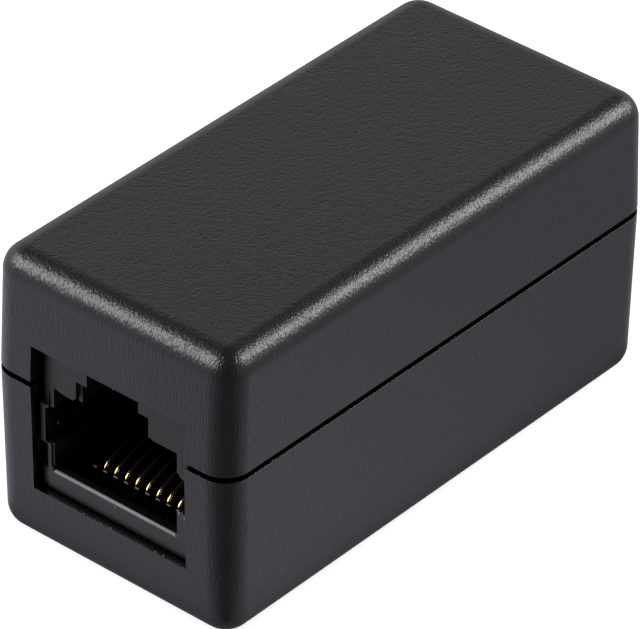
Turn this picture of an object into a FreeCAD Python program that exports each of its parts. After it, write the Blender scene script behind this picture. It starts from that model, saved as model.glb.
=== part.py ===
import FreeCAD, Part
import os
import re

import Sketcher

# Inline coupler: a two-part moulded case that holds an 8-way modular socket in each end, with the
# two sockets soldered to one small board.  Millimetres.
#
# Frame: origin at the middle of the base, +Z up, length along Y.  The front socket faces -Y.  The
# rear socket is the same set of pieces turned half round the vertical axis.

# Driving sizes: name, value, what it is.
SIZES = (
    ("case_width", 22.8, "outside width at the parting line"),
    ("case_length", 47.4, "outside length at the parting line"),
    ("lower_height", 14.3, "base to the middle of the parting gap"),
    ("upper_height", 10.1, "middle of the parting gap to the top"),
    ("seam_gap", 0.48, "open height of the parting gap"),
    ("upper_side_draft", 0.6, "lean of the upper long sides, degrees"),
    ("upper_end_draft", 2.1, "lean of the upper ends, degrees"),
    ("lower_side_draft", 0.5, "lean of the lower long sides, degrees"),
    ("lower_end_draft", 1.2, "lean of the lower ends, degrees"),
    ("corner_round", 2.2, "rounding of the upright corners"),
    ("edge_round", 2.05, "rounding of the top and base edges"),
    ("wall", 1.8, "thickness of the sides and ends"),
    ("roof_skin", 1.8, "thickness of the roof"),
    ("floor_skin", 1.7, "thickness of the floor"),
    ("inner_corner", 0.8, "upright corner radius inside the walls"),
    ("snug", 0.12, "clearance between pieces that locate each other"),
    ("root", 0.3, "how far a rib, tooth or bead starts inside its parent"),
    ("tongue", 0.7, "thickness of the lower rim's tongue"),
    ("tongue_grip", 1.2, "height of the tongue inside the upper shell"),
    ("bead_reach", 0.3, "how far a snap bead stands out of the tongue"),
    ("bead_height", 0.5, "height of a snap bead"),
    ("bead_length", 8.0, "length of a snap bead"),
    ("bead_spread", 20.0, "distance between the two beads on a side"),
    ("rib_pitch", 9.5, "distance between locating ribs"),
    ("rib_count", 5, "number of locating ribs in each shell"),
    ("rib_thick", 1.2, "thickness of a rib"),
    ("shelf", 1.0, "how far a rib reaches under the board"),
    ("board_base", 3.3, "height of the board's underside"),
    ("board_thick", 1.2, "thickness of the board"),
    ("board_gap", 0.5, "gap between the board and each end wall"),
    ("window_play", 0.28, "gap between a socket's nose and its window"),
    ("window_sill", 1.95, "window's lower edge to the plug opening's floor"),
    ("window_hood", 1.5, "latch step to the window's upper edge"),
    ("nose_recess", 0.7, "how far the nose lies behind the end face"),
    ("shoulder_step", 0.56, "how far a housing is wider than its nose, each side"),
    ("jack_length", 16.8, "nose face to the housing's back"),
    ("jack_roof", 0.8, "plastic above the latch slot"),
    ("port_rise", 2.55, "board to the plug opening's floor"),
    ("port_width", 11.72, "width of the plug opening"),
    ("port_height", 7.3, "height of the plug opening"),
    ("port_depth", 12.2, "depth of the plug opening"),
    ("step_width", 6.86, "width of the step for the latch's base"),
    ("step_height", 1.75, "height of the latch step"),
    ("step_bevel", 0.3, "bevel at the corners of the latch step"),
    ("slot_width", 4.74, "width of the slot for the latch's tip"),
    ("slot_height", 1.6, "height of the latch slot"),
    ("notch_depth", 0.72, "how far a side notch goes out of the opening"),
    ("notch_skin", 0.46, "plastic between a side notch and the nose's side"),
    ("notch_rise", 2.27, "plug opening's floor to the notches' lower ends"),
    ("notch_height", 3.18, "height of a side notch"),
    ("notch_slope", 0.3, "fall of a side notch's upper end"),
    ("notch_length", 9.0, "how far a side notch runs in"),
    ("mouth_step", 0.16, "how much wider the mouth is on each side"),
    ("mouth_depth", 0.18, "depth of the wider mouth"),
    ("lip_thick", 0.8, "thickness of the lip along the floor"),
    ("lip_round", 0.28, "rounding of the lip's front edge"),
    ("well_depth", 1.95, "depth of the well behind the lip"),
    ("way_count", 8, "number of contact wires in a socket"),
    ("way_pitch", 1.016, "distance between contact wires"),
    ("wire_radius", 0.17, "radius of a contact wire"),
    ("wire_play", 0.06, "clearance of a wire in its slot"),
    ("wire_rise", 0.8, "board to the middle of a wire's run"),
    ("hook_radius", 1.2, "radius of the hook at the front of a wire"),
    ("hook_place", 3.02, "nose face to the front of the hook"),
    ("spring_angle", 20.0, "rise of the free end of a wire, degrees"),
    ("spring_place", 12.7, "nose face to the tip of a wire"),
    ("pin_place", 13.4, "nose face to the first row of pins"),
    ("pin_bend", 0.5, "bend radius above a wire's pin"),
    ("pin_reach", 0.95, "how far a pin comes out under the board"),
    ("pin_play", 0.19, "clearance of a pin in the board"),
    ("row_pitch", 2.54, "distance between the two rows of pins"),
    ("carrier_side", 0.636, "carrier's plastic outside the outermost ways"),
    ("plate_place", 4.5, "nose face to the front of the carrier's plate"),
    ("plate_height", 1.5, "board to the top of the plate"),
    ("post_place", 12.4, "nose face to the front of the carrier's upright"),
    ("post_height", 8.1, "board to the top of the upright"),
    ("tip_slot_depth", 1.0, "depth of the slots for the wires' tips"),
    ("tip_slot_rise", 4.5, "board to the lower ends of those slots"),
    ("tooth_place", 2.35, "nose face to the tips of the comb's teeth"),
    ("tooth_sink", 0.15, "plug opening's floor down to the teeth's tips"),
    ("tooth_rise", 0.7, "board to the teeth's underside"),
    ("tooth_slope", 3.85, "length of a tooth's sloping top"),
    ("tooth_bevel", 0.15, "bevel at the tip of a tooth"),
    ("peg_radius", 0.9, "radius of a housing's locating peg"),
    ("peg_place", 8.3, "nose face to the pegs"),
    ("peg_land", 0.28, "plastic between a peg and the carrier's cage"),
    ("core_width", 11.0, "width of the hollow in a housing's back"),
    ("core_skin", 0.9, "plastic left above and below that hollow"),
    ("core_depth", 3.2, "depth of that hollow"),
    ("solder_radius", 0.72, "radius of a solder fillet on the board"),
    ("solder_tip_radius", 0.3, "radius of a solder fillet at its tip"),
    ("solder_height", 0.6, "height of a solder fillet"),
    ("solder_play", 0.02, "clearance between a pin and its fillet"),
)

# Places and widths worked out from the driving sizes.
PLACES = {
    "end": "-case_length / 2",
    "top": "lower_height + upper_height",
    "upper_rim": "lower_height + seam_gap / 2",
    "lower_rim": "lower_height - seam_gap / 2",
    "room_width": "case_width - 2 * wall",
    "room_length": "case_length - 2 * wall",
    "rib_edge": "room_width / 2 + root",
    "tongue_face": "room_width / 2 + tongue",
    "tongue_top": "upper_rim + tongue_grip",
    "bead_level": "upper_rim + tongue_grip / 2",
    "board_top": "board_base + board_thick",
    "nose_face": "end + nose_recess",
    "shoulder": "end + wall + snug",
    "mouth_width": "port_width + 2 * mouth_step",
    "nose_width": "port_width + 2 * (notch_depth + notch_skin)",
    "window_width": "nose_width + 2 * window_play",
    "jack_width": "nose_width + 2 * shoulder_step",
    "jack_back": "nose_face + jack_length",
    "guide": "jack_width / 2 + snug",
    "port_floor": "board_top + port_rise",
    "port_top": "port_floor + port_height",
    "port_end": "nose_face + port_depth",
    "step_top": "port_top + step_height",
    "slot_top": "step_top + slot_height",
    "jack_top": "slot_top + jack_roof",
    "window_base": "port_floor - window_sill",
    "window_top": "step_top + window_hood",
    "notch_base": "port_floor + notch_rise",
    "notch_top": "notch_base + notch_height",
    "lip_back": "nose_face + lip_thick",
    "first_way": "-(way_count - 1) * way_pitch / 2",
    "wire_run": "board_top + wire_rise",
    "hook_middle": "nose_face + hook_place + hook_radius",
    "spring_end": "nose_face + spring_place",
    "pin_row": "nose_face + pin_place",
    "pin_tip": "board_base - pin_reach",
    "way_slot": "2 * (wire_radius + wire_play)",
    "groove_top": "wire_run + wire_radius + snug",
    "carrier_width": "way_count * way_pitch + 2 * carrier_side",
    "cage_width": "carrier_width + 2 * snug",
    "carrier_base": "board_top + snug",
    "plate_front": "nose_face + plate_place",
    "plate_top": "board_top + plate_height",
    "post_front": "nose_face + post_place",
    "post_top": "board_top + post_height",
    "tip_slot_base": "board_top + tip_slot_rise",
    "tooth_front": "nose_face + tooth_place",
    "tooth_top": "port_floor - tooth_sink",
    "tooth_base": "board_top + tooth_rise",
    "peg_across": "cage_width / 2 + peg_land + peg_radius",
    "peg_along": "nose_face + peg_place",
}

TINY = 1e-6
NAMES = {name for name, value, note in SIZES}
WORD = re.compile(r"[a-z][a-z_]*")


def tied(formula):
    """Spell out a formula: places become their own formulas and sizes become cells of the sheet."""

    def spell(match):
        word = match.group(0)
        if word in PLACES:
            return "(" + tied(PLACES[word]) + ")"
        return "sizes." + word if word in NAMES else word

    return WORD.sub(spell, formula)


class Model:
    """The document, its sheet of sizes, and the sub-parts that will be written out."""

    def __init__(self):
        self.doc = FreeCAD.newDocument("coupler")
        self.sheet = self.doc.addObject("Spreadsheet::Sheet", "sizes")
        for row, (name, value, note) in enumerate(SIZES, start=1):
            self.sheet.set(f"A{row}", name)
            self.sheet.set(f"B{row}", str(value))
            self.sheet.set(f"C{row}", note)
            self.sheet.setAlias(f"B{row}", name)
        self.doc.recompute()
        self.subparts = []

    def value(self, formula):
        """The number that a formula has now."""
        return float(self.sheet.evalExpression(tied(formula)))

    def keep(self, piece, label):
        """Name a finished piece: its label is its file's name."""
        piece.Label = label
        self.subparts.append(piece)

    def body(self, name):
        """A new body that holds one moulded, cut or bent piece."""
        return self.doc.addObject("PartDesign::Body", name + "_body")


def bind(thing, path, formula):
    """Drive one property of an object from the sheet."""
    thing.setExpression(path, tied(formula))


def sketch_on(model, body, name, plane, place="0"):
    """A sketch on one of the body's own planes, moved along that plane's normal by a formula."""
    sketch = body.newObject("Sketcher::SketchObject", body.Name + "_" + name)
    support = [item for item in body.Origin.OriginFeatures if item.Role == plane]
    sketch.AttachmentSupport = [(support[0], "")]
    sketch.MapMode = "FlatFace"
    bind(sketch, "AttachmentOffset.Base.z", place)
    return sketch


def measure(model, sketch, kind, geometry, point, name, formula):
    """Hold a point at a distance from the sketch's origin, or a curve at a radius."""
    if kind == "Radius":
        constraint = Sketcher.Constraint(kind, geometry, model.value(formula))
    else:
        constraint = Sketcher.Constraint(kind, -1, 1, geometry, point, model.value(formula))
    index = sketch.addConstraint(constraint)
    sketch.renameConstraint(index, name)
    bind(sketch, "Constraints." + name, formula)


def polygon(model, sketch, corners):
    """A closed outline of straight lines through (across, up) pairs of formulas."""
    first = sketch.GeometryCount
    points = [FreeCAD.Vector(model.value(across), model.value(up), 0) for across, up in corners]
    count = len(corners)
    for index in range(count):
        line = Part.LineSegment(points[index], points[(index + 1) % count])
        sketch.addGeometry(line, False)
    for index in range(count):
        following = first + (index + 1) % count
        sketch.addConstraint(Sketcher.Constraint("Coincident", first + index, 2, following, 1))
    for index, (across, up) in enumerate(corners):
        line = first + index
        measure(model, sketch, "DistanceX", line, 1, f"across{line}", across)
        measure(model, sketch, "DistanceY", line, 1, f"up{line}", up)


def rectangle(model, sketch, left, low, right, high):
    """A rectangle between four formulas."""
    polygon(model, sketch, [(left, low), (right, low), (right, high), (left, high)])


def mirrored(half):
    """An outline symmetric about the upright axis, from its right half listed upwards."""
    left = [(f"-({across})", up) for across, up in reversed(half)]
    return half + left


def rounded_rectangle(model, sketch, width, length, radius):
    """A centred rectangle with round corners."""
    half_x = model.value(width) / 2
    half_y = model.value(length) / 2
    size = model.value(radius)
    first = sketch.GeometryCount
    straight = (
        ((-half_x + size, -half_y), (half_x - size, -half_y)),
        ((half_x, -half_y + size), (half_x, half_y - size)),
        ((half_x - size, half_y), (-half_x + size, half_y)),
        ((-half_x, half_y - size), (-half_x, -half_y + size)),
    )
    for start, finish in straight:
        sketch.addGeometry(Part.LineSegment(FreeCAD.Vector(*start, 0), FreeCAD.Vector(*finish, 0)), False)
    quarter = model.value("90deg / 1rad")
    centres = ((1, -1), (1, 1), (-1, 1), (-1, -1))
    for index, (side_x, side_y) in enumerate(centres):
        centre = FreeCAD.Vector(side_x * (half_x - size), side_y * (half_y - size), 0)
        round_corner = Part.Circle(centre, FreeCAD.Vector(0, 0, 1), size)
        sketch.addGeometry(Part.ArcOfCircle(round_corner, (index - 1) * quarter, index * quarter), False)
    for index in range(4):
        corner = first + 4 + index
        following = first + (index + 1) % 4
        sketch.addConstraint(Sketcher.Constraint("Tangent", first + index, 2, corner, 1))
        sketch.addConstraint(Sketcher.Constraint("Tangent", corner, 2, following, 1))
        way = "Horizontal" if index % 2 == 0 else "Vertical"
        sketch.addConstraint(Sketcher.Constraint(way, first + index))
    for index in range(1, 4):
        sketch.addConstraint(Sketcher.Constraint("Equal", first + 4, first + 4 + index))
    measure(model, sketch, "Radius", first + 4, 0, f"corner{first}", radius)
    measure(model, sketch, "DistanceY", first, 1, f"front{first}", f"-({length}) / 2")
    measure(model, sketch, "DistanceX", first + 1, 1, f"right{first}", f"({width}) / 2")
    measure(model, sketch, "DistanceY", first + 2, 1, f"back{first}", f"({length}) / 2")
    measure(model, sketch, "DistanceX", first + 3, 1, f"left{first}", f"-({width}) / 2")


def circle(model, sketch, across, up, radius):
    """A circle about a centre given by two formulas."""
    centre = FreeCAD.Vector(model.value(across), model.value(up), 0)
    index = sketch.addGeometry(Part.Circle(centre, FreeCAD.Vector(0, 0, 1), model.value(radius)), False)
    measure(model, sketch, "DistanceX", index, 3, f"across{index}", across)
    measure(model, sketch, "DistanceY", index, 3, f"up{index}", up)
    measure(model, sketch, "Radius", index, 0, f"radius{index}", radius)


def extrude(model, body, kind, sketch, length, backwards=False, both_ways=False):
    """A Pad or a Pocket of a sketch; backwards turns it against its usual direction."""
    feature = body.newObject("PartDesign::" + kind, f"{sketch.Name}_{kind}")
    feature.Profile = sketch
    feature.Reversed = backwards
    if both_ways:
        feature.SideType = "Symmetric"
    bind(feature, "Length", length)
    model.doc.recompute()
    return feature


def level_edges(shape, level):
    """Names of a shape's edges that lie wholly at one height."""
    return [
        f"Edge{index}"
        for index, edge in enumerate(shape.Edges, start=1)
        if all(abs(vertex.Z - level) < TINY for vertex in edge.Vertexes)
    ]


def upright_edges(shape, low, high):
    """Names of a shape's edges that climb at least half of the way between two heights."""
    return [
        f"Edge{index}"
        for index, edge in enumerate(shape.Edges, start=1)
        if abs(edge.Vertexes[0].Z - edge.Vertexes[-1].Z) > abs(high - low) / 2
    ]


def facing(shape, axis):
    """Names of a shape's flat faces that look mostly along an axis, either way."""
    return [
        f"Face{index}"
        for index, face in enumerate(shape.Faces, start=1)
        if abs(face.normalAt(0, 0).dot(axis)) > 0.9
    ]


def level_face(shape, level):
    """Names of a shape's faces whose middle lies at one height."""
    return [
        f"Face{index}"
        for index, face in enumerate(shape.Faces, start=1)
        if abs(face.CenterOfMass.z - level) < TINY
    ]


def drafted_block(model, body, rim, far, drafts):
    """The outside of a shell: a block from its rim to its far face, leaned, then rounded."""
    sketch = sketch_on(model, body, "rim", "XY_Plane", rim)
    half_x, half_y = "case_width / 2", "case_length / 2"
    rectangle(model, sketch, f"-{half_x}", f"-{half_y}", half_x, half_y)
    low, high = model.value(rim), model.value(far)
    downwards = high < low
    height = f"{rim} - ({far})" if downwards else f"{far} - ({rim})"
    step = extrude(model, body, "Pad", sketch, height, backwards=downwards)
    axes = (FreeCAD.Vector(1, 0, 0), FreeCAD.Vector(0, 1, 0))
    for axis, angle in zip(axes, drafts):
        lean = body.newObject("PartDesign::Draft", f"{body.Name}_{angle}")
        lean.Base = (step, facing(step.Shape, axis))
        lean.NeutralPlane = (step, level_face(step.Shape, low))
        lean.Reversed = downwards
        bind(lean, "Angle", angle)
        model.doc.recompute()
        step = lean
    for name, size in (("corners", "corner_round"), ("edges", "edge_round")):
        shape = step.Shape
        edges = upright_edges(shape, low, high) if name == "corners" else level_edges(shape, high)
        rounding = body.newObject("PartDesign::Fillet", f"{body.Name}_{name}")
        rounding.Base = (step, edges)
        bind(rounding, "Radius", size)
        model.doc.recompute()
        step = rounding


def pattern(model, body, feature, axis_role, span, count):
    """Repeat a feature evenly over a span along one of the body's own axes."""
    copies = body.newObject("PartDesign::LinearPattern", feature.Name + "_row")
    copies.Originals = [feature]
    axis = [item for item in body.Origin.OriginFeatures if item.Role == axis_role]
    copies.Direction = (axis[0], [""])
    bind(copies, "Length", span)
    bind(copies, "Occurrences", count)
    body.Tip = copies
    model.doc.recompute()


def ribs(model, body, outlines):
    """Locating ribs across a shell, all alike, spaced along its length."""
    span = "(rib_count - 1) * rib_pitch"
    sketch = sketch_on(model, body, "rib", "XZ_Plane", f"{span} / 2")
    for corners in outlines:
        polygon(model, sketch, corners)
    rib = extrude(model, body, "Pad", sketch, "rib_thick", both_ways=True)
    pattern(model, body, rib, "Y_Axis", span, "rib_count")


def snap_strips(model, body, kind, reach, play):
    """Two strips on each long side: beads on the tongue, or the grooves that they click into."""
    height = f"bead_height + 2 * {play}"
    length = f"bead_length + 2 * {play}"
    sketch = sketch_on(model, body, "snap", "XY_Plane", f"bead_level - ({height}) / 2")
    for side in ("-", ""):
        for end in ("-", ""):
            near = f"{side}(tongue_face - root)"
            far = f"{side}(tongue_face + {reach})"
            low = f"{end}bead_spread / 2 - ({length}) / 2"
            high = f"{end}bead_spread / 2 + ({length}) / 2"
            rectangle(model, sketch, near, low, far, high)
    extrude(model, body, kind, sketch, height, backwards=kind == "Pocket")


def cut_window(model, body, low, high):
    """Cut the socket windows through both ends of a shell."""
    sketch = sketch_on(model, body, "window", "XZ_Plane")
    rectangle(model, sketch, "-window_width / 2", low, "window_width / 2", high)
    extrude(model, body, "Pocket", sketch, "2 * case_length", both_ways=True)


def make_upper_shell(model):
    """The upper half of the case: roof, drafted walls, rebate for the tongue, hold-down ribs."""
    body = model.body("upper_shell")
    drafts = ("upper_side_draft", "upper_end_draft")
    drafted_block(model, body, "upper_rim", "top", drafts)

    room = sketch_on(model, body, "room", "XY_Plane", "upper_rim")
    rounded_rectangle(model, room, "room_width", "room_length", "inner_corner")
    extrude(model, body, "Pocket", room, "top - roof_skin - upper_rim", backwards=True)

    rebate = sketch_on(model, body, "rebate", "XY_Plane", "upper_rim")
    wider = "2 * (tongue + snug)"
    corner = "inner_corner + tongue + snug"
    rounded_rectangle(model, rebate, f"room_width + {wider}", f"room_length + {wider}", corner)
    extrude(model, body, "Pocket", rebate, "tongue_grip", backwards=True)

    snap_strips(model, body, "Pocket", "bead_reach + snug", "snug")
    cut_window(model, body, "lower_rim - tongue_grip", "window_top")
    leg = "tongue_top + 2 * snug"
    half = [
        ("guide", "jack_top + snug"),
        ("guide", leg),
        ("rib_edge", leg),
        ("rib_edge", "top - roof_skin + root"),
    ]
    ribs(model, body, [mirrored(half)])
    model.keep(body, "upper_shell")


def make_lower_shell(model):
    """The lower half of the case: floor, drafted walls, tongue with snap beads, shelved ribs."""
    body = model.body("lower_shell")
    drafts = ("lower_side_draft", "lower_end_draft")
    drafted_block(model, body, "lower_rim", "0", drafts)

    room = sketch_on(model, body, "room", "XY_Plane", "lower_rim")
    rounded_rectangle(model, room, "room_width", "room_length", "inner_corner")
    extrude(model, body, "Pocket", room, "lower_rim - floor_skin")

    lip = sketch_on(model, body, "tongue", "XY_Plane", "lower_rim - root")
    rounded_rectangle(model, lip, "room_width", "room_length", "inner_corner")
    wider = "2 * tongue"
    corner = "inner_corner + tongue"
    rounded_rectangle(model, lip, f"room_width + {wider}", f"room_length + {wider}", corner)
    extrude(model, body, "Pad", lip, "tongue_top - lower_rim + root")

    snap_strips(model, body, "Pad", "bead_reach", "0")
    cut_window(model, body, "window_base", "tongue_top + tongue_grip")
    outlines = []
    for side in ("", "-"):
        inner = f"{side}(jack_width / 2 - shelf)"
        outlines.append([
            (inner, "floor_skin - root"),
            (f"{side}rib_edge", "floor_skin - root"),
            (f"{side}rib_edge", "lower_rim"),
            (f"{side}guide", "lower_rim"),
            (f"{side}guide", "board_base"),
            (inner, "board_base"),
        ])
    ribs(model, body, outlines)
    model.keep(body, "lower_shell")


def turn(piece, rear):
    """Leave a front piece as it is; turn a rear piece half round the vertical axis."""
    angle = 180 if rear else 0
    upright = FreeCAD.Vector(0, 0, 1)
    piece.Placement = FreeCAD.Placement(FreeCAD.Vector(0, 0, 0), FreeCAD.Rotation(upright, angle))


def make_jack_housing(model, prefix, rear):
    """A socket's moulded housing: block, nose, stepped opening, well, cage for the carrier, pegs."""
    body = model.body(prefix + "_jack_housing")
    block = sketch_on(model, body, "block", "XZ_Plane", "-shoulder")
    rectangle(model, block, "-jack_width / 2", "board_top", "jack_width / 2", "jack_top")
    extrude(model, body, "Pad", block, "jack_back - shoulder", backwards=True)

    nose = sketch_on(model, body, "nose", "XZ_Plane", "-nose_face")
    low, high = "window_base + window_play", "window_top - window_play"
    rectangle(model, nose, "-nose_width / 2", low, "nose_width / 2", high)
    extrude(model, body, "Pad", nose, "shoulder - nose_face + root", backwards=True)

    port = sketch_on(model, body, "port", "XZ_Plane", "-nose_face")
    half = [
        ("port_width / 2", "port_floor"),
        ("port_width / 2", "port_top"),
        ("step_width / 2 + step_bevel", "port_top"),
        ("step_width / 2", "port_top + step_bevel"),
        ("step_width / 2", "step_top"),
        ("slot_width / 2", "step_top"),
        ("slot_width / 2", "slot_top"),
    ]
    polygon(model, port, mirrored(half))
    port_cut = extrude(model, body, "Pocket", port, "port_depth")

    face, floor = model.value("nose_face"), model.value("port_floor")
    front_edge = [
        f"Edge{index}"
        for index, edge in enumerate(body.Tip.Shape.Edges, start=1)
        if all(abs(v.Y - face) < TINY and abs(v.Z - floor) < TINY for v in edge.Vertexes)
    ]
    lip = body.newObject("PartDesign::Fillet", body.Name + "_lip")
    lip.Base = (port_cut, front_edge)
    bind(lip, "Radius", "lip_round")
    model.doc.recompute()

    mouth = sketch_on(model, body, "mouth", "XZ_Plane", "-nose_face")
    rectangle(model, mouth, "-mouth_width / 2", "port_floor + lip_round", "mouth_width / 2", "port_top")
    extrude(model, body, "Pocket", mouth, "mouth_depth")

    notches = sketch_on(model, body, "notches", "XZ_Plane", "-nose_face")
    for side in ("", "-"):
        outer = f"{side}(port_width / 2 + notch_depth)"
        polygon(model, notches, [
            (f"{side}port_width / 4", "notch_base"),
            (outer, "notch_base"),
            (outer, "notch_top - notch_slope"),
            (f"{side}mouth_width / 2", "notch_top"),
            (f"{side}port_width / 4", "notch_top"),
        ])
    extrude(model, body, "Pocket", notches, "notch_length")

    well = sketch_on(model, body, "well", "XY_Plane", "port_floor")
    rectangle(model, well, "-port_width / 2", "lip_back", "port_width / 2", "port_end")
    extrude(model, body, "Pocket", well, "well_depth")

    cage = sketch_on(model, body, "cage", "XY_Plane", "board_top")
    front = "tooth_front - snug"
    rectangle(model, cage, "-cage_width / 2", front, "cage_width / 2", "jack_back + root")
    extrude(model, body, "Pocket", cage, "port_floor - board_top", backwards=True)

    upright = sketch_on(model, body, "upright", "XY_Plane", "board_top")
    rectangle(model, upright, "-cage_width / 2", "port_end - root", "cage_width / 2", "jack_back + root")
    extrude(model, body, "Pocket", upright, "post_top + snug - board_top", backwards=True)

    core = sketch_on(model, body, "core", "XZ_Plane", "-jack_back")
    core_low, core_high = "post_top + snug + core_skin", "jack_top - core_skin"
    rectangle(model, core, "-core_width / 2", core_low, "core_width / 2", core_high)
    extrude(model, body, "Pocket", core, "core_depth", backwards=True)

    pegs = sketch_on(model, body, "pegs", "XY_Plane", "board_base")
    for side in ("", "-"):
        circle(model, pegs, f"{side}peg_across", "peg_along", "peg_radius")
    extrude(model, body, "Pad", pegs, "board_thick + root")

    turn(body, rear)
    model.keep(body, prefix + "_jack_housing")


def make_carrier(model, prefix, rear):
    """The comb that holds a socket's wires: plate, upright, teeth, grooves and tip slots."""
    body = model.body(prefix + "_contact_carrier")
    side = sketch_on(model, body, "side", "YZ_Plane")
    polygon(model, side, [
        ("plate_front", "carrier_base"),
        ("jack_back", "carrier_base"),
        ("jack_back", "post_top"),
        ("post_front", "post_top"),
        ("post_front", "plate_top"),
        ("plate_front", "plate_top"),
    ])
    extrude(model, body, "Pad", side, "carrier_width", both_ways=True)

    tooth = sketch_on(model, body, "tooth", "YZ_Plane", "-way_count * way_pitch / 2")
    polygon(model, tooth, [
        ("tooth_front", "tooth_base"),
        ("plate_front + root", "tooth_base"),
        ("tooth_front + tooth_slope", "plate_top - root"),
        ("tooth_front + tooth_bevel", "tooth_top"),
        ("tooth_front", "tooth_top - tooth_bevel"),
    ])
    teeth = extrude(model, body, "Pad", tooth, "way_pitch - way_slot", both_ways=True)
    pattern(model, body, teeth, "X_Axis", "way_count * way_pitch", "way_count + 1")

    row = "(way_count - 1) * way_pitch"
    left, right = "first_way - way_slot / 2", "first_way + way_slot / 2"
    groove = sketch_on(model, body, "groove", "XY_Plane", "board_top")
    back = "pin_row + row_pitch + wire_radius + snug"
    rectangle(model, groove, left, "plate_front - root", right, back)
    cut = extrude(model, body, "Pocket", groove, "groove_top - board_top", backwards=True)
    pattern(model, body, cut, "X_Axis", row, "way_count")

    tip = sketch_on(model, body, "tip", "XZ_Plane", "-(post_front - root)")
    rectangle(model, tip, left, "tip_slot_base", right, "post_top + root")
    cut = extrude(model, body, "Pocket", tip, "tip_slot_depth + root")
    pattern(model, body, cut, "X_Axis", row, "way_count")
    turn(body, rear)
    model.keep(body, prefix + "_contact_carrier")


def way_place(way):
    """Formulas for where a contact wire stands across the socket and where its pin comes down."""
    across = f"first_way + {way} * way_pitch"
    pin = f"pin_row + {way % 2} * row_pitch"
    return across, pin


def wire_path(model, body, across, pin):
    """The middle line of a contact wire: pin, bend, run, hook and sprung free end."""
    path = sketch_on(model, body, "path", "YZ_Plane", across)
    run, bend, hook = model.value("wire_run"), model.value("pin_bend"), model.value("hook_radius")
    foot, middle, tip = model.value(pin), model.value("hook_middle"), model.value("spring_end")
    rise = model.value("spring_angle * 1deg / 1rad")
    normal = FreeCAD.Vector(0, 0, 1)
    quarter = model.value("90deg / 1rad")

    def line(start, finish):
        return Part.LineSegment(FreeCAD.Vector(*start, 0), FreeCAD.Vector(*finish, 0))

    corner = Part.Circle(FreeCAD.Vector(foot - bend, run - bend, 0), normal, bend)
    around = Part.Circle(FreeCAD.Vector(middle, run + hook, 0), normal, hook)
    curl = Part.ArcOfCircle(around, quarter + rise, 3 * quarter)
    lift = curl.StartPoint
    slope = model.value("tan(spring_angle * 1deg)")
    pieces = (
        line((foot, model.value("pin_tip")), (foot, run - bend)),
        Part.ArcOfCircle(corner, 0, quarter),
        line((foot - bend, run), (middle, run)),
        curl,
        line((lift.x, lift.y), (tip, lift.y + (tip - lift.x) * slope)),
    )
    for piece in pieces:
        path.addGeometry(piece, False)
    for first, end_one, second, end_two in ((0, 2, 1, 1), (1, 2, 2, 1), (2, 2, 3, 2), (3, 1, 4, 1)):
        path.addConstraint(Sketcher.Constraint("Tangent", first, end_one, second, end_two))
    path.addConstraint(Sketcher.Constraint("Vertical", 0))
    path.addConstraint(Sketcher.Constraint("Horizontal", 2))
    measure(model, path, "Radius", 1, 0, "bend", "pin_bend")
    measure(model, path, "Radius", 3, 0, "hook", "hook_radius")
    measure(model, path, "DistanceX", 0, 1, "foot", pin)
    measure(model, path, "DistanceY", 0, 1, "pin_end", "pin_tip")
    measure(model, path, "DistanceY", 2, 1, "run", "wire_run")
    measure(model, path, "DistanceX", 3, 3, "middle", "hook_middle")
    measure(model, path, "DistanceX", 4, 2, "tip", "spring_end")
    angle = path.addConstraint(Sketcher.Constraint("Angle", 4, rise))
    path.renameConstraint(angle, "rise")
    bind(path, "Constraints.rise", "spring_angle * 1deg")
    return path, len(pieces)


def make_contact(model, prefix, way, rear):
    """One round contact wire, swept along its middle line."""
    body = model.body(f"{prefix}_contact_{way + 1}")
    across, pin = way_place(way)
    path, count = wire_path(model, body, across, pin)
    section = sketch_on(model, body, "section", "XY_Plane", "pin_tip")
    circle(model, section, across, pin, "wire_radius")
    pipe = body.newObject("PartDesign::AdditivePipe", body.Name + "_pipe")
    pipe.Profile = section
    pipe.Spine = (path, [f"Edge{index}" for index in range(1, count + 1)])
    model.doc.recompute()
    turn(body, rear)
    model.keep(body, f"{prefix}_contact_{way + 1}")


def make_board(model):
    """The circuit board, drilled for the pins and pegs of both sockets."""
    body = model.body("circuit_board")
    outline = sketch_on(model, body, "outline", "XY_Plane", "board_base")
    half_length = "(room_length / 2 - board_gap)"
    rectangle(model, outline, "-jack_width / 2", f"-{half_length}", "jack_width / 2", half_length)
    extrude(model, body, "Pad", outline, "board_thick")

    drill = sketch_on(model, body, "drill", "XY_Plane", "board_top")
    for side in ("", "-"):
        for way in range(int(model.value("way_count"))):
            across, pin = way_place(way)
            circle(model, drill, f"{side}({across})", f"{side}({pin})", "wire_radius + pin_play")
        for peg_side in ("", "-"):
            circle(model, drill, f"{peg_side}peg_across", f"{side}peg_along", "peg_radius + snug")
    extrude(model, body, "Pocket", drill, "board_thick")
    model.keep(body, "circuit_board")


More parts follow.
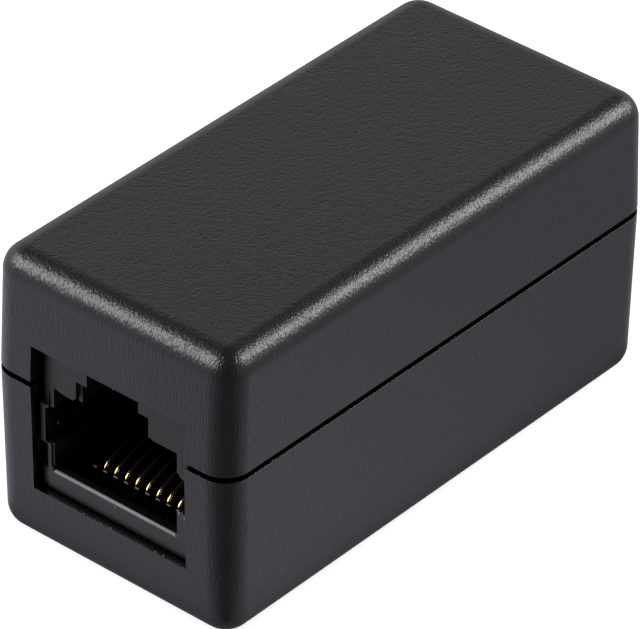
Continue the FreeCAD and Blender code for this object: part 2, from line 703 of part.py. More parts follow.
def make_solder(model):
    """Sixteen solder fillets under the board, each a ring round its pin."""
    rings = []
    for side, word in (("", "front"), ("-", "rear")):
        for way in range(int(model.value("way_count"))):
            across, pin = way_place(way)
            cone = model.doc.addObject("Part::Cone", f"{word}_fillet_{way + 1}")
            bind(cone, "Radius1", "solder_tip_radius")
            bind(cone, "Radius2", "solder_radius")
            bind(cone, "Height", "solder_height")
            hole = model.doc.addObject("Part::Cylinder", f"{word}_fillet_hole_{way + 1}")
            bind(hole, "Radius", "wire_radius + solder_play")
            bind(hole, "Height", "solder_height")
            for item in (cone, hole):
                bind(item, "Placement.Base.x", f"{side}({across})")
                bind(item, "Placement.Base.y", f"{side}({pin})")
                bind(item, "Placement.Base.z", "board_base - solder_height")
            ring = model.doc.addObject("Part::Cut", f"{word}_ring_{way + 1}")
            ring.Base = cone
            ring.Tool = hole
            rings.append(ring)
    group = model.doc.addObject("Part::Compound", "solder")
    group.Links = rings
    model.keep(group, "solder_joints")


def check(model):
    """Stop if any object failed, any piece is not sound, or any cut removed nothing."""
    for item in model.doc.Objects:
        if "Invalid" in item.State or "Error" in item.State:
            raise RuntimeError(f"{item.Name} failed: {item.State}")
    for piece in model.subparts:
        if piece.Shape.isNull() or not piece.Shape.isValid():
            raise RuntimeError(f"{piece.Label} has no sound shape")
        if piece.TypeId == "PartDesign::Body" and len(piece.Shape.Solids) != 1:
            raise RuntimeError(f"{piece.Label} is not one solid")
        steps = [item for item in getattr(piece, "Group", []) if hasattr(item, "BaseFeature")]
        for before, after in zip(steps, steps[1:]):
            change = after.Shape.Volume - before.Shape.Volume
            if after.TypeId == "PartDesign::Pocket" and change > -TINY:
                raise RuntimeError(f"{after.Name} cuts nothing")
            if after.TypeId == "PartDesign::Pad" and change < TINY:
                raise RuntimeError(f"{after.Name} adds nothing")


def main():
    """Build every sub-part, check it and write it out."""
    model = Model()
    make_upper_shell(model)
    make_lower_shell(model)
    make_board(model)
    for prefix, rear in (("front", False), ("rear", True)):
        make_jack_housing(model, prefix, rear)
        make_carrier(model, prefix, rear)
        for way in range(int(model.value("way_count"))):
            make_contact(model, prefix, way, rear)
    make_solder(model)
    model.doc.recompute()
    check(model)
    os.makedirs("parts", exist_ok=True)
    for piece in model.subparts:
        piece.Shape.exportStep(f"parts/{piece.Label}.step")
        print(piece.Label, "volume", round(piece.Shape.Volume, 3))


main()
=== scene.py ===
"""Looks of an inline coupler: a grained two-part case with an eight-way socket in each end."""

import logging
import math
from collections.abc import Callable
from dataclasses import dataclass
from enum import Enum
from typing import Any

import bmesh
import bpy
from mathutils import Matrix, Vector


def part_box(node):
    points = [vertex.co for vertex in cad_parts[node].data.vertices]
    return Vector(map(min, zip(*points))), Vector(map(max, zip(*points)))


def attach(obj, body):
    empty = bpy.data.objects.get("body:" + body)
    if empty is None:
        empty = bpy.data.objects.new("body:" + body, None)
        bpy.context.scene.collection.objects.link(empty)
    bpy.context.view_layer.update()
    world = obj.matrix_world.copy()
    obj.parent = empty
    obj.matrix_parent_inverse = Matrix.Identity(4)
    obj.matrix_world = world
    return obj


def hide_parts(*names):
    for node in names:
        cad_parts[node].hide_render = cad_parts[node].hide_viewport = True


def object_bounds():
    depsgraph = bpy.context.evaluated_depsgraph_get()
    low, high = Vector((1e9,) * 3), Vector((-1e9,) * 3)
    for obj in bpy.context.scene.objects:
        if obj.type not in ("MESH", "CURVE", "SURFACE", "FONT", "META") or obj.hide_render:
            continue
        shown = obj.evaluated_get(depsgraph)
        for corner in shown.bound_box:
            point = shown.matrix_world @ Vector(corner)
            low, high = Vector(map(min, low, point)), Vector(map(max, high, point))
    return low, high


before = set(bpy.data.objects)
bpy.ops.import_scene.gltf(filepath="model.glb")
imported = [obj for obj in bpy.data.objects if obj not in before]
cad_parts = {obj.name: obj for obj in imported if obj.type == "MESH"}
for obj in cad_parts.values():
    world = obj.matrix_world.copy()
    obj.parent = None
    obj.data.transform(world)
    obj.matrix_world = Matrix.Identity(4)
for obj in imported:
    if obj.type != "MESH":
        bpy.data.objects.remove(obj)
CAD_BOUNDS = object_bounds()

MM = 0.001
MICRON = 0.001 * MM
WELD = 0.01 * MICRON
TOUCH = 5 * MICRON
NEAR = 0.1 * MM
FLAT_ANGLE = math.radians(0.3)
CRISP_ANGLE = math.radians(28)
PARTING = 14.3 * MM
GAP = 0.48 * MM
log = logging.getLogger("coupler")

Colour = tuple[float, float, float]
Triple = tuple[float, float, float]
Span = tuple[float, float]
Values = dict[str | int, Any]
Paths = list[list[Triple]]
Mesh = bmesh.types.BMesh
Edge = bmesh.types.BMEdge
Piece = bpy.types.Object
Material = bpy.types.Material
NodeTree = bpy.types.NodeTree


class End(Enum):
    """The two ends of the coupler, each with its turn about the upright axis."""

    FRONT = 0.0
    REAR = math.pi

    @property
    def word(self) -> str:
        """The word that starts the names of this end's pieces."""
        return self.name.lower()

    @property
    def turn(self) -> Matrix:
        """What turns the front end to this one, or back."""
        return Matrix.Rotation(self.value, 3, "Z")


class Half(Enum):
    """The two halves of the case, each with its CAD node."""

    UPPER = "upper_shell"
    LOWER = "lower_shell"


# ---- node trees


def operator(operation: str, swapped: bool = False) -> Callable[..., "Signal"]:
    """Make an operator for signals out of a Math node.

    Args:
        operation: What the node does.
        swapped: Whether the signal is its second operand.

    Returns:
        The operator.
    """

    def combine(signal: "Signal", other: Any = 0.0) -> "Signal":
        """Add a Math node that combines a signal with another operand."""
        values = {0: other, 1: signal} if swapped else {0: signal, 1: other}
        return signal.graph.node("ShaderNodeMath", values, operation=operation)

    return combine


class Signal:
    """One output of a node, so that shader maths can be written as expressions."""

    def __init__(self, graph: "Graph", socket: bpy.types.NodeSocket) -> None:
        """Wrap an output socket of a graph."""
        self.graph = graph
        self.socket = socket

    __add__ = __radd__ = operator("ADD")
    __sub__ = operator("SUBTRACT")
    __rsub__ = operator("SUBTRACT", swapped=True)
    __mul__ = __rmul__ = operator("MULTIPLY")
    __abs__ = operator("ABSOLUTE")
    __lt__ = operator("LESS_THAN")
    __gt__ = operator("GREATER_THAN")


class Graph:
    """Builds one node tree: a material's, the world's or a Geometry Nodes modifier's."""

    def __init__(self, tree: NodeTree) -> None:
        """Empty a tree and build in it."""
        self.tree = tree
        tree.nodes.clear()

    def node(
        self, kind: str, values: Values | None = None, output: str | int = 0, **settings: Any
    ) -> Signal | None:
        """Add a node.

        Args:
            kind: The node's type.
            values: What its inputs hold: numbers, colours or signals, by name or number.
            output: The output to carry on with.
            **settings: Its own settings; stops are a colour ramp's (place, colour) pairs.

        Returns:
            That output as a signal, or None for a node without outputs.
        """
        made = self.tree.nodes.new(kind)
        for name, value in settings.items():
            if name == "stops":
                self._set_stops(made.color_ramp, value)
            else:
                setattr(made, name, value)
        for key, value in (values or {}).items():
            if isinstance(value, Signal):
                self.tree.links.new(value.socket, made.inputs[key])
            else:
                made.inputs[key].default_value = value
        return Signal(self, made.outputs[output]) if made.outputs else None

    def axis(self, vector: Signal, name: str) -> Signal:
        """One part of a vector: X, Y or Z."""
        return self.node("ShaderNodeSeparateXYZ", {0: vector}, name)

    def ease(
        self, value: Signal, low: float, high: float, start: float = 0.0, end: float = 1.0
    ) -> Signal:
        """Turn the range from low to high smoothly into the one from start to end."""
        values = {"Value": value, "From Min": low, "From Max": high, "To Min": start, "To Max": end}
        return self.node("ShaderNodeMapRange", values, interpolation_type="SMOOTHSTEP")

    def scaled(self, vector: Signal, factor: Signal) -> Signal:
        """A vector or colour made longer or brighter by a factor."""
        return self.node("ShaderNodeVectorMath", {0: vector, "Scale": factor}, operation="SCALE")

    @staticmethod
    def _set_stops(ramp: bpy.types.ColorRamp, stops: list[tuple[float, Colour]]) -> None:
        """Give a colour ramp its stops.

        Args:
            ramp: The ramp of a new node, which has two stops.
            stops: At least two (place, colour) pairs in rising order.
        """
        while len(ramp.elements) < len(stops):
            ramp.elements.new(0.5)
        for element, (place, colour) in zip(ramp.elements, stops):
            element.position = place
            element.color = (*colour, 1.0)


class Shader(Graph):
    """A material's tree, with the few shapes of node group that the finishes share."""

    def __init__(self, name: str) -> None:
        """Start a material whose patterns lie on the object's own coordinates.

        Args:
            name: The material's name.
        """
        self.material = bpy.data.materials.new(name)
        self.material.use_nodes = True
        super().__init__(self.material.node_tree)
        self.place = self.node("ShaderNodeTexCoord", output="Object")

    def noise(
        self,
        size: float,
        detail: float = 2.0,
        rough: float = 0.5,
        twist: float = 0.0,
        place: Signal | None = None,
    ) -> Signal:
        """Cloudy noise from 0 to 1.

        Args:
            size: Width of its coarsest grains.
            detail: How many finer layers it has.
            rough: How strong each finer layer is.
            twist: How far it is swirled.
            place: Coordinates to use in place of the object's own.

        Returns:
            The noise as a number.
        """
        values = {"Vector": place or self.place, "Scale": 1 / size, "Detail": detail}
        values |= {"Roughness": rough, "Distortion": twist}
        return self.node("ShaderNodeTexNoise", values, "Fac")

    def cells(self, size: float) -> Signal:
        """How far the middle of the nearest strewn cell is, in widths of a cell."""
        values = {"Vector": self.place, "Scale": 1 / size}
        return self.node("ShaderNodeTexVoronoi", values, "Distance", feature="F1")

    def squeezed(self, scale: Triple) -> Signal:
        """The object's own coordinates, with patterns drawn out along the axes scaled below 1."""
        return self.node("ShaderNodeMapping", {"Vector": self.place, "Scale": scale})

    def blend(self, share: Signal, first: Any, second: Any) -> Signal:
        """Mix two colours, or signals that hold them, by the share of the second."""
        pair = [(*item, 1.0) if isinstance(item, tuple) else item for item in (first, second)]
        return self.node("ShaderNodeMix", {0: share, 6: pair[0], 7: pair[1]}, 2, data_type="RGBA")

    def bump(self, height: Signal, depth: float) -> Signal:
        """A normal from a height of 0 to 1 that stands for a depth in metres."""
        return self.node("ShaderNodeBump", {"Height": height, "Distance": depth, "Strength": 1.0})

    def finish(self, **sockets: Any) -> Material:
        """Close the tree with a Principled shader.

        Args:
            **sockets: Its inputs, by their names with underscores for spaces.

        Returns:
            The material.
        """
        values = {name.replace("_", " "): value for name, value in sockets.items()}
        for name in ("Base Color", "Specular Tint"):
            if isinstance(values.get(name), tuple):
                values[name] = (*values[name], 1.0)
        surface = self.node("ShaderNodeBsdfPrincipled", values)
        self.node("ShaderNodeOutputMaterial", {"Surface": surface})
        return self.material


# ---- finishes


@dataclass(frozen=True)
class GrainedCase:
    """Black moulded plastic with the fine grain of a spark-eroded mould.

    The walls have grain drawn out upwards, the roof has leathery ridges with fine pebbles, and
    the faces where the windows and the parting gap cut through the wall are plain, with painted shade.
    """

    colour: Colour = (0.0082, 0.0076, 0.0088)
    pale: Colour = (0.20, 0.20, 0.20)
    # painted shade: near-black colour of the window and gap faces, which lie in recesses
    shaded: Colour = (0.0008, 0.0007, 0.0006)
    roughness: float = 0.30
    mottle: float = 0.02
    mottle_size: float = 3.0 * MM
    plain_gloss: float = 0.6
    depth: float = 50.0 * MICRON
    grain: float = 0.118 * MM
    end_stretch: Triple = (1.0, 0.45, 0.18)
    side_stretch: Triple = (0.6, 1.0, 0.18)
    side_height: float = 0.9
    upright_gain: float = 0.85
    leaning_gain: float = 1.1
    leather: float = 0.52 * MM
    ridge_height: float = 0.46
    pebble_height: float = 0.42
    speck_spacing: float = 3.0 * MM
    speck_size: float = 0.016
    square_on: float = 0.9
    middle: float = 12.2 * MM
    half_room: float = 11.0 * MM
    half_bay: float = 9.0 * MM

    def build(self) -> Material:
        """Make the material.

        Returns:
            The material.
        """
        tree = Shader("grained_case")
        facing = tree.node("ShaderNodeNewGeometry", output="Normal")
        across, along, level = (abs(tree.axis(facing, name)) for name in "XYZ")

        height = tree.axis(tree.place, "Z")
        ledges = (self.square_on < level) * (abs(height - self.middle) < self.half_room)
        jambs = (self.square_on < across) * (abs(tree.axis(tree.place, "X")) < self.half_bay)
        gap = abs(height - PARTING) < GAP / 2 + TOUCH
        # cut marks the window and gap faces: a plainer finish, and painted shade in their colour
        cut = 0.5 < ledges + jambs + gap

        leather = tree.noise(self.leather, detail=2.0, rough=0.5, twist=0.6)
        ridges = 1 - abs(leather - 0.5) * 4.0
        pebbles = tree.noise(self.grain, detail=1.0)
        roof = pebbles * self.pebble_height + ridges * self.ridge_height
        top = tree.ease(level, 0.90, 0.98)
        walls = self._walls(tree, across - along, level)
        relief = (walls * (1 - top) + roof * top) * (1 - cut)

        lowest = self.roughness - self.mottle
        roughness = tree.noise(self.mottle_size) * (2 * self.mottle) + lowest
        specks = tree.cells(self.speck_spacing) < self.speck_size
        return tree.finish(
            Base_Color=tree.blend(cut, tree.blend(specks, self.colour, self.pale), self.shaded),
            Roughness=roughness * (1 - cut * self.plain_gloss),
            Normal=tree.bump(relief, self.depth),
        )

    def _walls(self, tree: Shader, turn: Signal, level: Signal) -> Signal:
        """Make the grain of the walls, which is deeper where they round over.

        Args:
            tree: The finish's tree.
            turn: Below 0 on the ends and above it on the sides.
            level: How far the surface faces up or down.

        Returns:
            The height of the grain.
        """
        sideways = tree.ease(turn, -0.1, 0.1)
        ends, sides = (
            tree.noise(self.grain, detail=1.5, place=tree.squeezed(stretch))
            for stretch in (self.end_stretch, self.side_stretch)
        )
        gain = tree.ease(level, 0.05, 0.5, self.upright_gain, self.leaning_gain)
        return (ends * (1 - sideways) + sides * sideways * self.side_height) * gain


@dataclass(frozen=True)
class TornFlash:
    """Flash of the same plastic, paler where it tore; the pale colour is also a painted highlight."""

    # pale colour: partly torn plastic, partly a painted highlight on the flakes
    colour: Colour = (0.45, 0.45, 0.46)
    whole: Colour = (0.045, 0.045, 0.046)
    tear: float = 0.05 * MM
    depth: float = 10.0 * MICRON

    def build(self) -> Material:
        """Make the material.

        Returns:
            The material.
        """
        tree = Shader("torn_flash")
        torn = tree.noise(self.tear, detail=2.0)
        return tree.finish(
            Base_Color=tree.blend(torn, self.whole, self.colour),
            Roughness=torn * 0.3 + 0.3,
            Normal=tree.bump(torn, self.depth),
        )


@dataclass(frozen=True)
class SatinMoulding:
    """Smooth black plastic from a mould with a high polish, frosted higher up, with painted shade
    inside the socket.
    """

    name: str
    colour: Colour = (0.0032, 0.0029, 0.0022)
    # painted shade: colour of the faces away from the socket's mouth
    inner: Colour = (0.0004, 0.0003, 0.0002)
    sheen: Colour = (1.0, 0.98, 0.98)
    roughness: float = 0.38
    gloss: float = 0.6
    streak: float = 1.6 * MM
    streak_gain: float = 1.25
    pebble: float = 0.12 * MM
    depth: float = 2.0 * MICRON
    frost: float = 0.16
    frosted: Span = (12.3 * MM, 12.9 * MM)
    mouth: Span = (22.3 * MM, 22.8 * MM)

    def build(self) -> Material:
        """Make the material.

        Returns:
            The material.
        """
        tree = Shader(self.name)
        flow = tree.noise(self.streak, detail=3.0, rough=0.6, twist=1.2)
        fine = tree.noise(self.pebble, detail=1.0)
        frost = tree.ease(tree.axis(tree.place, "Z"), *self.frosted, 0.0, self.frost)
        # outer is 1 at the mouth and 0 deeper in, where the painted shade is used
        outer = tree.ease(abs(tree.axis(tree.place, "Y")), *self.mouth)
        streaks = tuple(self.streak_gain * part for part in self.colour)
        return tree.finish(
            Base_Color=tree.blend(outer, self.inner, tree.blend(flow, self.colour, streaks)),
            Roughness=flow * 0.12 + (self.roughness - 0.06) + frost,
            Specular_IOR_Level=self.gloss,
            Specular_Tint=self.sheen,
            Normal=tree.bump(flow * 0.5 + fine * 0.5, self.depth),
        )


@dataclass(frozen=True)
class PlatedWire:
    """Spring wire with gold where a plug touches it, painted shade below its hook and further back,
    and tin on its tail.
    """

    gold: Colour = (0.72, 0.53, 0.20)
    # painted shade: dark colour of the wire below its hook and further back into the socket
    dull: Colour = (0.10, 0.08, 0.05)
    tin: Colour = (0.62, 0.62, 0.60)
    tail: Span = (4.4 * MM, 4.9 * MM)
    hook: Span = (6.3 * MM, 6.8 * MM)
    polished: Span = (16.8 * MM, 19.9 * MM)
    die_mark: float = 0.5 * MM
    depth: float = 0.3 * MICRON

    def build(self) -> Material:
        """Make the material.

        Returns:
            The material.
        """
        tree = Shader("plated_wire")
        height = tree.axis(tree.place, "Z")
        tinned = tree.ease(height, *self.tail, 1.0, 0.0)
        # the gold fades to the painted shade below the hook and further back into the socket
        plated = tree.ease(height, *self.hook)
        polished = tree.ease(abs(tree.axis(tree.place, "Y")), *self.polished, 0.35, 1.0)
        spring = tree.blend(plated * polished, self.dull, self.gold)
        drawn = tree.noise(self.die_mark, detail=2.0)
        return tree.finish(
            Base_Color=tree.blend(tinned, spring, self.tin),
            Metallic=1.0,
            Roughness=drawn * 0.06 + 0.16,
            Normal=tree.bump(drawn, self.depth),
        )


@dataclass(frozen=True)
class SolderMask:
    """Glass-epoxy board under green mask, bare at its sawn edges."""

    mask: Colour = (0.010, 0.075, 0.030)
    glass: Colour = (0.30, 0.29, 0.16)
    mask_roughness: float = 0.22
    sawn_roughness: float = 0.7
    weave: float = 3.5 * MM
    depth: float = 3.0 * MICRON

    def build(self) -> Material:
        """Make the material.

        Returns:
            The material.
        """
        tree = Shader("solder_mask")
        facing = tree.node("ShaderNodeNewGeometry", output="Normal")
        weave = tree.node(
            "ShaderNodeTexWave",
            {"Vector": tree.place, "Scale": 1 / self.weave, "Distortion": 1.0},
            "Fac",
            wave_type="BANDS",
            bands_direction="DIAGONAL",
        )
        flat = tree.ease(abs(tree.axis(facing, "Z")), 0.5, 0.7)
        return tree.finish(
            Base_Color=tree.blend(flat, self.glass, self.mask),
            Roughness=tree.ease(flat, 0.0, 1.0, self.sawn_roughness, self.mask_roughness),
            Normal=tree.bump(weave, self.depth),
        )


@dataclass(frozen=True)
class Tin:
    """Bright solder with a slightly frosted skin."""

    colour: Colour = (0.66, 0.66, 0.67)
    frost: float = 0.14 * MM
    depth: float = 4.0 * MICRON

    def build(self) -> Material:
        """Make the material.

        Returns:
            The material.
        """
        tree = Shader("tin_solder")
        frost = tree.noise(self.frost, detail=3.0)
        return tree.finish(
            Base_Color=self.colour,
            Metallic=1.0,
            Roughness=frost * 0.3 + 0.15,
            Normal=tree.bump(frost, self.depth),
        )


# ---- meshes


def linked(thing: Piece) -> Piece:
    """Link an object to the scene, and give it again."""
    bpy.context.scene.collection.objects.link(thing)
    return thing


def settled(piece: Piece) -> Piece:
    """Turn a piece with modifiers into a plain mesh.

    Args:
        piece: The piece, linked to the scene.

    Returns:
        The same piece, with the modifiers' result as its mesh.
    """
    graph = bpy.context.evaluated_depsgraph_get()
    mesh = bpy.data.meshes.new_from_object(piece.evaluated_get(graph), depsgraph=graph)
    piece.modifiers.clear()
    piece.data = mesh
    mesh.name = piece.name
    return piece


def grown(piece: Piece, tree: NodeTree, values: dict[str, Any]) -> Piece:
    """Run a Geometry Nodes tree on a piece and keep its result as a plain mesh.

    Args:
        piece: The piece, linked to the scene.
        tree: The tree.
        values: What its named inputs hold.

    Returns:
        The same piece.
    """
    modifier = piece.modifiers.new(tree.name, "NODES")
    modifier.node_group = tree
    for item in tree.interface.items_tree:
        if item.in_out == "INPUT" and item.name in values:
            modifier[item.identifier] = values[item.name]
    return settled(piece)


def new_tree(name: str, inputs: dict[str, str]) -> tuple[Graph, dict[str, Signal]]:
    """Start a Geometry Nodes tree.

    Args:
        name: The tree's name.
        inputs: Its named inputs after the geometry, each with its kind of socket.

    Returns:
        The tree's graph, and each input as a signal.
    """
    tree = bpy.data.node_groups.new(name, "GeometryNodeTree")
    sockets = {"Geometry": "Geometry", **inputs}
    for label, kind in sockets.items():
        tree.interface.new_socket(label, in_out="INPUT", socket_type=f"NodeSocket{kind}")
    tree.interface.new_socket("Geometry", in_out="OUTPUT", socket_type="NodeSocketGeometry")
    graph = Graph(tree)
    return graph, {label: graph.node("NodeGroupInput", output=label) for label in sockets}


def close_tree(graph: Graph, shape: Signal, material: Signal) -> NodeTree:
    """End a Geometry Nodes tree: instances made real, smooth shading, and the material.

    Args:
        graph: The tree's graph.
        shape: What it has made.
        material: The material that the piece is given.

    Returns:
        The tree.
    """
    smooth = graph.node("GeometryNodeSetShadeSmooth", {"Geometry": shape})
    whole = graph.node("GeometryNodeRealizeInstances", {"Geometry": smooth})
    done = graph.node("GeometryNodeSetMaterial", {"Geometry": whole, "Material": material})
    graph.node("NodeGroupOutput", {"Geometry": done})
    return graph.tree


def wire_tree() -> NodeTree:
    """Build the tree that gives drawn lines the round section of a wire.

    Returns:
        The tree.
    """
    inputs = {"Radius": "Float", "Sides": "Int", "Material": "Material"}
    graph, given = new_tree("round_wire", inputs)
    line = graph.node("GeometryNodeMeshToCurve", {"Mesh": given["Geometry"]})
    section = {"Resolution": given["Sides"], "Radius": given["Radius"]}
    ring = graph.node("GeometryNodeCurvePrimitiveCircle", section)
    swept = {"Curve": line, "Profile Curve": ring, "Fill Caps": True}
    return close_tree(graph, graph.node("GeometryNodeCurveToMesh", swept), given["Material"])


def flake_tree() -> NodeTree:
    """Build the tree that strews small flakes of flash along drawn lines.

    Returns:
        The tree.
    """
    inputs = {"Spacing": "Float", "Size": "Float", "Share": "Float", "Seed": "Int"}
    graph, given = new_tree("strewn_flakes", inputs | {"Material": "Material"})
    seed = given["Seed"]

    def chance(kind: str, draw: int, values: Values, output: int) -> Signal:
        """Draw a random value for each flake, from the seed and the number of the draw."""
        values = {**values, "Seed": seed + draw}
        return graph.node("FunctionNodeRandomValue", values, output, data_type=kind)

    line = graph.node("GeometryNodeMeshToCurve", {"Mesh": given["Geometry"]})
    spaced = {"Curve": line, "Length": given["Spacing"]}
    points = graph.node("GeometryNodeCurveToPoints", spaced, mode="LENGTH")
    kept = chance("BOOLEAN", 0, {"Probability": given["Share"]}, 3)
    shift = chance("FLOAT_VECTOR", 1, {0: (-1.0, -1.0, -1.0), 1: (1.0, 1.0, 1.0)}, 0)
    moved = {"Geometry": points, "Offset": graph.scaled(shift, given["Size"] * 0.4)}
    points = graph.node("GeometryNodeSetPosition", moved)
    shape = chance("FLOAT_VECTOR", 2, {0: (0.5, 0.5, 0.35), 1: (1.0, 1.0, 0.7)}, 0)
    turn = chance("FLOAT_VECTOR", 3, {0: (0.0, 0.0, 0.0), 1: (math.tau, math.tau, math.tau)}, 0)
    rare = chance("FLOAT", 4, {2: 0.0, 3: 1.0}, 1)
    size = graph.scaled(shape, graph.ease(rare, 0.7, 1.0, 0.3, 1.0) * given["Size"])
    flake = graph.node("GeometryNodeMeshIcoSphere", {"Radius": 1.0, "Subdivisions": 2})
    placed = {"Points": points, "Selection": kept, "Instance": flake, "Rotation": turn, "Scale": size}
    flakes = graph.node("GeometryNodeInstanceOnPoints", placed)
    return close_tree(graph, flakes, given["Material"])


def drawn_lines(name: str, lines: list[list[Vector]]) -> Piece:
    """Make an object of open lines for a tree to work on.

    Args:
        name: The object's name.
        lines: The corners of each line.

    Returns:
        The object, linked to the scene.
    """
    mesh = bpy.data.meshes.new(name)
    corners, edges = [], []
    for line in lines:
        first = len(corners)
        corners += line
        edges += [(place, place + 1) for place in range(first, len(corners) - 1)]
    mesh.from_pydata(corners, edges, [])
    return linked(bpy.data.objects.new(name, mesh))


def welded(node: str) -> Mesh:
    """Copy a CAD node as one welded mesh, with each flat face whole.

    Args:
        node: The CAD node's name.

    Returns:
        The copy.
    """
    body = bmesh.new()
    body.from_mesh(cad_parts[node].data)
    bmesh.ops.remove_doubles(body, verts=body.verts, dist=WELD)
    bmesh.ops.dissolve_limit(body, angle_limit=FLAT_ANGLE, verts=body.verts, edges=body.edges)
    return body


def crisp(edge: Edge) -> bool:
    """Whether an edge is a real corner and not a step of a rounding."""
    return len(edge.link_faces) == 2 and edge.calc_face_angle(0.0) > CRISP_ANGLE


def soften(body: Mesh, radius: float, chosen: Callable[[Edge], bool], segments: int = 3) -> None:
    """Round the chosen crisp edges of a mesh.

    Args:
        body: The mesh.
        radius: How far the rounding reaches from the edge.
        chosen: Says whether a crisp edge is rounded.
        segments: How many faces the rounding has.
    """
    edges = [edge for edge in body.edges if crisp(edge) and chosen(edge)]
    shape = {"offset": radius, "segments": segments, "profile": 0.5}
    bmesh.ops.bevel(body, geom=edges, affect="EDGES", clamp_overlap=True, **shape)


def piece_from(body: Mesh, name: str, material: Material) -> Piece:
    """Make a piece from a worked mesh, smooth but for its crisp edges.

    Args:
        body: The mesh, which is used up.
        name: The piece's name.
        material: Its finish.

    Returns:
        The piece, at the origin.
    """
    for face in body.faces:
        face.smooth = True
        face.material_index = 0
    for edge in body.edges:
        edge.smooth = not crisp(edge)
    mesh = bpy.data.meshes.new(name)
    body.to_mesh(mesh)
    body.free()
    mesh.materials.clear()
    mesh.materials.append(material)
    piece = linked(bpy.data.objects.new(name, mesh))
    weighted = piece.modifiers.new("even_normals", "WEIGHTED_NORMAL")
    weighted.keep_sharp = True
    weighted.weight = 100
    return settled(piece)


def mount(piece: Piece, slot: str, *nodes: str) -> None:
    """Fix a finished piece in the frame.

    Args:
        piece: The piece.
        slot: The record's slot for its finish; not used.
        *nodes: The CAD nodes that it stands for.
    """
    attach(piece, "root")
    if nodes:
        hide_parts(*nodes)
    replaced = ", ".join(nodes) or "nothing"
    log.info("%s: %d faces, stands for %s", piece.name, len(piece.data.polygons), replaced)


# ---- sub-assemblies


@dataclass
class Case:
    """The two halves of the case."""

    edge_softness: float = 0.025 * MM
    rim_softness: float = 0.03 * MM
    skin: float = 0.9 * MM

    def build(self, material: Material) -> None:
        """Make both halves in one finish."""
        for half in Half:
            self._shell(half, material)

    def _shell(self, half: Half, material: Material) -> None:
        """Make one half from its CAD node, with the softened rims of a moulding.

        Args:
            half: Which half.
            material: Its finish.
        """
        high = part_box(half.value)[1]
        body = welded(half.value)
        rim = PARTING + (GAP / 2 if half is Half.UPPER else -GAP / 2)
        for radius, on_rim in ((self.rim_softness, True), (self.edge_softness, False)):
            soften(
                body,
                radius,
                lambda edge: self._outside(edge, high) and self._level(edge, rim) is on_rim,
            )
        mount(piece_from(body, half.name.lower() + "_case", material), "case", half.value)

    @staticmethod
    def _level(edge: Edge, height: float) -> bool:
        """Whether an edge lies level at a height."""
        return all(abs(corner.co.z - height) < NEAR for corner in edge.verts)

    def _outside(self, edge: Edge, high: Vector) -> bool:
        """Whether an edge lies on the outside of the walls."""
        wide, long = high.x - self.skin, high.y - self.skin
        return all(abs(corner.co.x) > wide or abs(corner.co.y) > long for corner in edge.verts)


@dataclass(frozen=True)
class Nose:
    """The front of a socket's housing: how far it stands back from place to place.

    All sizes are in millimetres. The left bar stands back beside the mouth, the part above it
    stands forward and slides back towards the left, and the foot rounds away to the sill.
    """

    lines_across: tuple[float, ...] = (
        -1.9, -2.3, -4.3, -4.6, -4.9, -5.3, -5.86, -6.32, -6.38, -6.64, -6.85
    )
    lines_up: tuple[float, ...] = (
        5.2, 5.25, 5.32, 5.42, 5.55, 5.7, 5.85, 6.0, 6.15, 6.35, 7.08, 7.14, 9.20, 9.26, 12.56, 12.62
    )
    upper: float = 12.6
    slide: float = -4.3
    slide_slope: float = 0.19
    slide_round: float = 0.4
    curl: float = 0.11
    curl_reach: float = 1.6
    rise: float = 0.14
    rise_from: float = -1.9
    rise_width: float = 0.4
    bar: Span = (7.1, 9.24)
    bar_edge: float = -6.35
    bar_depth: float = 0.55
    corner: float = -6.0
    corner_width: float = 1.04
    corner_depth: float = 0.20
    foot: float = 6.15
    foot_depth: float = 0.30

    def depth(self, x: float, z: float) -> float:
        """How far the nose stands back at a place.

        Args:
            x: Place across the nose.
            z: Height.

        Returns:
            The depth below the nose's plane.
        """
        low, high = self.bar
        depth = 0.0
        if z > self.upper:
            slide = max(0.0, self.slide - x)
            depth = self.slide_slope * (math.hypot(slide, self.slide_round) - self.slide_round)
            depth += self.curl * max(0.0, slide - self.curl_reach) ** 2
            depth -= self.rise * min(1.0, max(0.0, (self.rise_from - x) / self.rise_width))
        elif low < z < high:
            depth = self.bar_depth if x < self.bar_edge else 0.0
        elif z < low:
            depth = self.corner_depth * max(0.0, (self.corner - x) / self.corner_width) ** 2
        if z < self.foot:
            depth += self.foot_depth * (1 - math.sqrt(max(0.0, 1 - (self.foot - z) ** 2)))
        return depth


